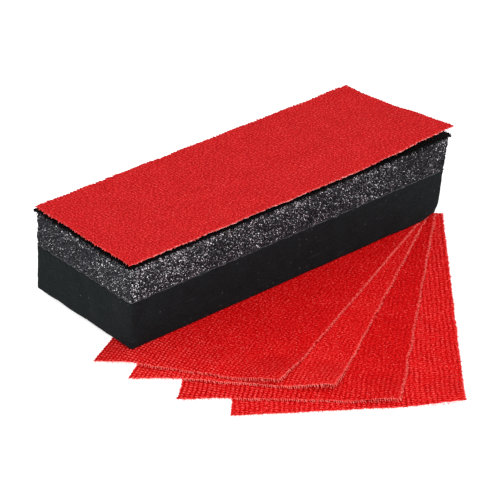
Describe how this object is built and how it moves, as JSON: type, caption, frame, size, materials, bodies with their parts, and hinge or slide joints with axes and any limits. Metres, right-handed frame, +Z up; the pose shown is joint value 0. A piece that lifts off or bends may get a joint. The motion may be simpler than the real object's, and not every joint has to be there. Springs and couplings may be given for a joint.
{
  "type": "sanding block",
  "caption": "Hand sanding block of hard and soft foam with a hook-tape face, a fitted abrasive sheet and loose spare sheets fanned out under it.",
  "frame": {"origin": "on the surface that everything stands on, under the middle of the whole footprint", "axes": "+X along the block's long side, +Y from the fanned side to the back, +Z up, out of the working face"},
  "size_m": [0.21, 0.2156, 0.0487],
  "materials": {
    "hard_foam": "matte",
    "soft_foam": "matte",
    "adhesive_film": "satin",
    "hook_tape": "matte",
    "loop_backing": "matte",
    "abrasive_cloth": "matte"
  },
  "bodies": {
    "block": {"hard_foam_base": "hard_foam", "foam_bond_film": "adhesive_film", "soft_foam_pad": "soft_foam"},
    "hook_face": {"hook_tape_adhesive": "adhesive_film", "hook_tape": "hook_tape"},
    "fitted_sheet": {"fitted_sheet_loop_backing": "loop_backing", "fitted_sheet_abrasive_cloth": "abrasive_cloth"},
    "spare_sheet_1": {"spare_sheet_1_loop_backing": "loop_backing", "spare_sheet_1_abrasive_cloth": "abrasive_cloth"},
    "spare_sheet_2": {"spare_sheet_2_loop_backing": "loop_backing", "spare_sheet_2_abrasive_cloth": "abrasive_cloth"},
    "spare_sheet_3": {"spare_sheet_3_loop_backing": "loop_backing", "spare_sheet_3_abrasive_cloth": "abrasive_cloth"},
    "spare_sheet_4": {"spare_sheet_4_loop_backing": "loop_backing", "spare_sheet_4_abrasive_cloth": "abrasive_cloth"}
  },
  "joints": [
    {"name": "foam_press", "type": "slide", "parent": "block", "child": "hook_face", "axis": [0, 0, -1], "range_m": [0, 0.006], "stiffness_N_per_m": 5000, "deforming": ["soft_foam_pad"]},
    {"name": "fitted_sheet_peel", "type": "hinge", "parent": "hook_face", "child": "fitted_sheet", "pos_m": [-0.09734, 0.05137, 0.04784], "axis": [0, -1, 0], "range_deg": [0, 110]},
    {"name": "spare_sheet_1_pull", "type": "slide", "parent": "block", "child": "spare_sheet_1", "axis": [-0.9048, -0.4258, 0], "range_m": [0, 0.176]},
    {"name": "spare_sheet_2_pull", "type": "slide", "parent": "block", "child": "spare_sheet_2", "axis": [-0.8425, -0.5388, 0], "range_m": [0, 0.165]},
    {"name": "spare_sheet_3_pull", "type": "slide", "parent": "block", "child": "spare_sheet_3", "axis": [-0.766, -0.6428, 0], "range_m": [0, 0.125]},
    {"name": "spare_sheet_4_pull", "type": "slide", "parent": "block", "child": "spare_sheet_4", "axis": [-0.6769, -0.7361, 0], "range_m": [0, 0.096]}
  ]
}
